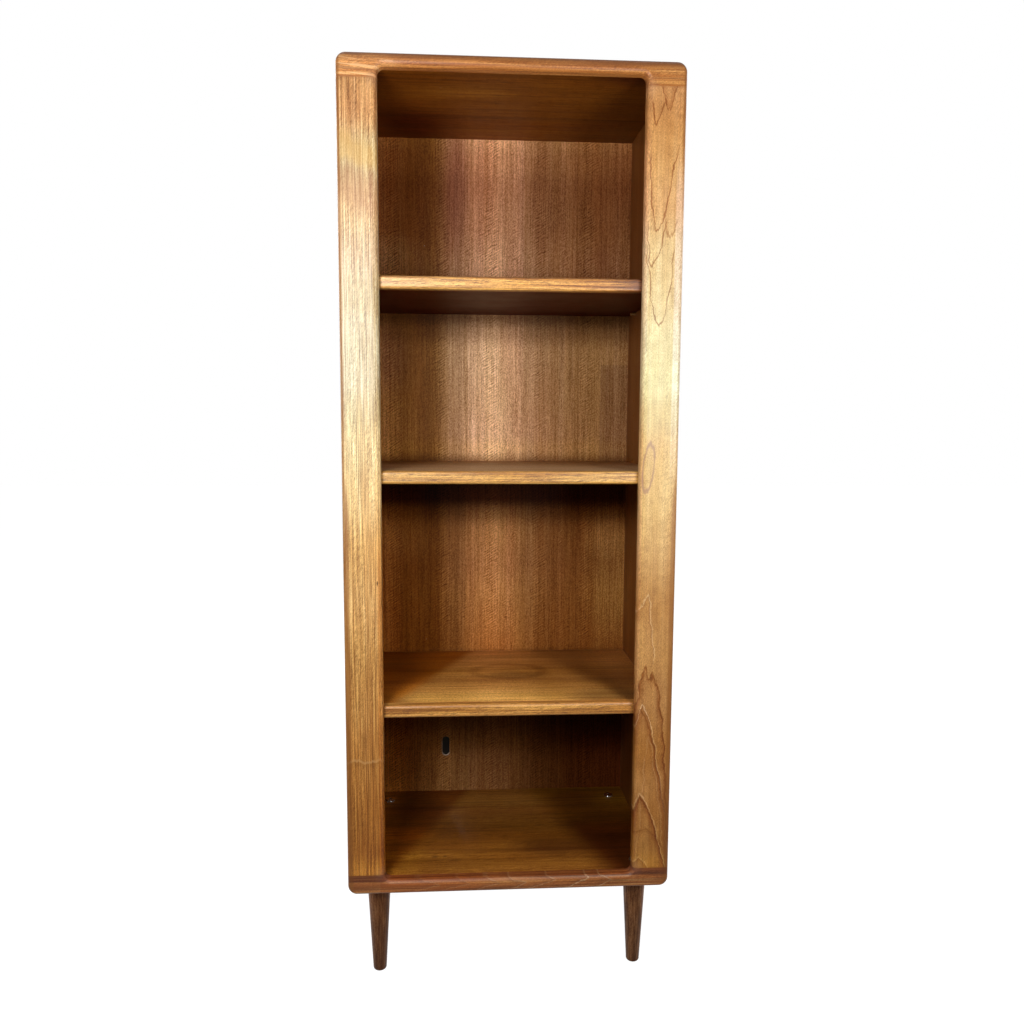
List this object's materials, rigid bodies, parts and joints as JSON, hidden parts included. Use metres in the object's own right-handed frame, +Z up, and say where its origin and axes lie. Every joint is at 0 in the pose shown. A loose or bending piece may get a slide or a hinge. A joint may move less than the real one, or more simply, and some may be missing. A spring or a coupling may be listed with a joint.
{
  "type": "bookcase",
  "caption": "Tall open bookcase with a rounded solid wood face frame, adjustable shelves on pins and turned tapered legs.",
  "frame": {"origin": "centre of the footprint at floor level: middle of the width and of the depth, with the feet standing on z = 0", "axes": "+Z up, +X to the right seen from the front, +Y from the open front to the back panel"},
  "size_m": [0.6, 0.42, 1.675],
  "materials": {
    "solid_teak": "oiled, satin",
    "teak_veneer": "lacquered veneer, satin",
    "dark_leg_wood": "dark stained, satin",
    "beech": "plain",
    "plated_steel": "bright plated",
    "zinc_steel": "zinc plated",
    "brass": "turned"
  },
  "bodies": {
    "case": {"left_stile": "solid_teak", "right_stile": "solid_teak", "top_rail": "solid_teak", "bottom_rail": "solid_teak", "frame_dowels": "beech", "frame_pegs": "beech", "left_side_panel": "teak_veneer", "right_side_panel": "teak_veneer", "top_panel": "teak_veneer", "bottom_panel": "teak_veneer", "corner_splines": "beech", "back_panel": "teak_veneer", "back_screws": "zinc_steel", "front_left_leg": "dark_leg_wood", "front_right_leg": "dark_leg_wood", "rear_left_leg": "dark_leg_wood", "rear_right_leg": "dark_leg_wood", "leg_inserts": "brass", "leg_bolts": "plated_steel"},
    "lower_shelf": {"lower_shelf_board": "teak_veneer", "lower_shelf_lipping": "solid_teak"},
    "middle_shelf": {"middle_shelf_board": "teak_veneer", "middle_shelf_lipping": "solid_teak"},
    "upper_shelf": {"upper_shelf_board": "teak_veneer", "upper_shelf_lipping": "solid_teak"},
    "lower_pin_front_left": {"lower_pin_front_left": "brass"},
    "lower_pin_front_right": {"lower_pin_front_right": "brass"},
    "lower_pin_rear_left": {"lower_pin_rear_left": "brass"},
    "lower_pin_rear_right": {"lower_pin_rear_right": "brass"},
    "middle_pin_front_left": {"middle_pin_front_left": "brass"},
    "middle_pin_front_right": {"middle_pin_front_right": "brass"},
    "middle_pin_rear_left": {"middle_pin_rear_left": "brass"},
    "middle_pin_rear_right": {"middle_pin_rear_right": "brass"},
    "upper_pin_front_left": {"upper_pin_front_left": "brass"},
    "upper_pin_front_right": {"upper_pin_front_right": "brass"},
    "upper_pin_rear_left": {"upper_pin_rear_left": "brass"},
    "upper_pin_rear_right": {"upper_pin_rear_right": "brass"}
  },
  "joints": [
    {"name": "lower_shelf_lift", "type": "slide", "parent": "case", "child": "lower_shelf", "axis": [0, 0, 1], "range_m": [0, 0.4015]},
    {"name": "middle_shelf_lift", "type": "slide", "parent": "case", "child": "middle_shelf", "axis": [0, 0, 1], "range_m": [0, 0.3125]},
    {"name": "upper_shelf_lift", "type": "slide", "parent": "case", "child": "upper_shelf", "axis": [0, 0, 1], "range_m": [0, 0.345]},
    {"name": "lower_pin_front_left_pull", "type": "slide", "parent": "case", "child": "lower_pin_front_left", "axis": [1, 0, 0], "range_m": [0, 0.011]},
    {"name": "lower_pin_front_right_pull", "type": "slide", "parent": "case", "child": "lower_pin_front_right", "axis": [-1, 0, 0], "range_m": [0, 0.011]},
    {"name": "lower_pin_rear_left_pull", "type": "slide", "parent": "case", "child": "lower_pin_rear_left", "axis": [1, 0, 0], "range_m": [0, 0.011]},
    {"name": "lower_pin_rear_right_pull", "type": "slide", "parent": "case", "child": "lower_pin_rear_right", "axis": [-1, 0, 0], "range_m": [0, 0.011]},
    {"name": "middle_pin_front_left_pull", "type": "slide", "parent": "case", "child": "middle_pin_front_left", "axis": [1, 0, 0], "range_m": [0, 0.011]},
    {"name": "middle_pin_front_right_pull", "type": "slide", "parent": "case", "child": "middle_pin_front_right", "axis": [-1, 0, 0], "range_m": [0, 0.011]},
    {"name": "middle_pin_rear_left_pull", "type": "slide", "parent": "case", "child": "middle_pin_rear_left", "axis": [1, 0, 0], "range_m": [0, 0.011]},
    {"name": "middle_pin_rear_right_pull", "type": "slide", "parent": "case", "child": "middle_pin_rear_right", "axis": [-1, 0, 0], "range_m": [0, 0.011]},
    {"name": "upper_pin_front_left_pull", "type": "slide", "parent": "case", "child": "upper_pin_front_left", "axis": [1, 0, 0], "range_m": [0, 0.011]},
    {"name": "upper_pin_front_right_pull", "type": "slide", "parent": "case", "child": "upper_pin_front_right", "axis": [-1, 0, 0], "range_m": [0, 0.011]},
    {"name": "upper_pin_rear_left_pull", "type": "slide", "parent": "case", "child": "upper_pin_rear_left", "axis": [1, 0, 0], "range_m": [0, 0.011]},
    {"name": "upper_pin_rear_right_pull", "type": "slide", "parent": "case", "child": "upper_pin_rear_right", "axis": [-1, 0, 0], "range_m": [0, 0.011]}
  ]
}
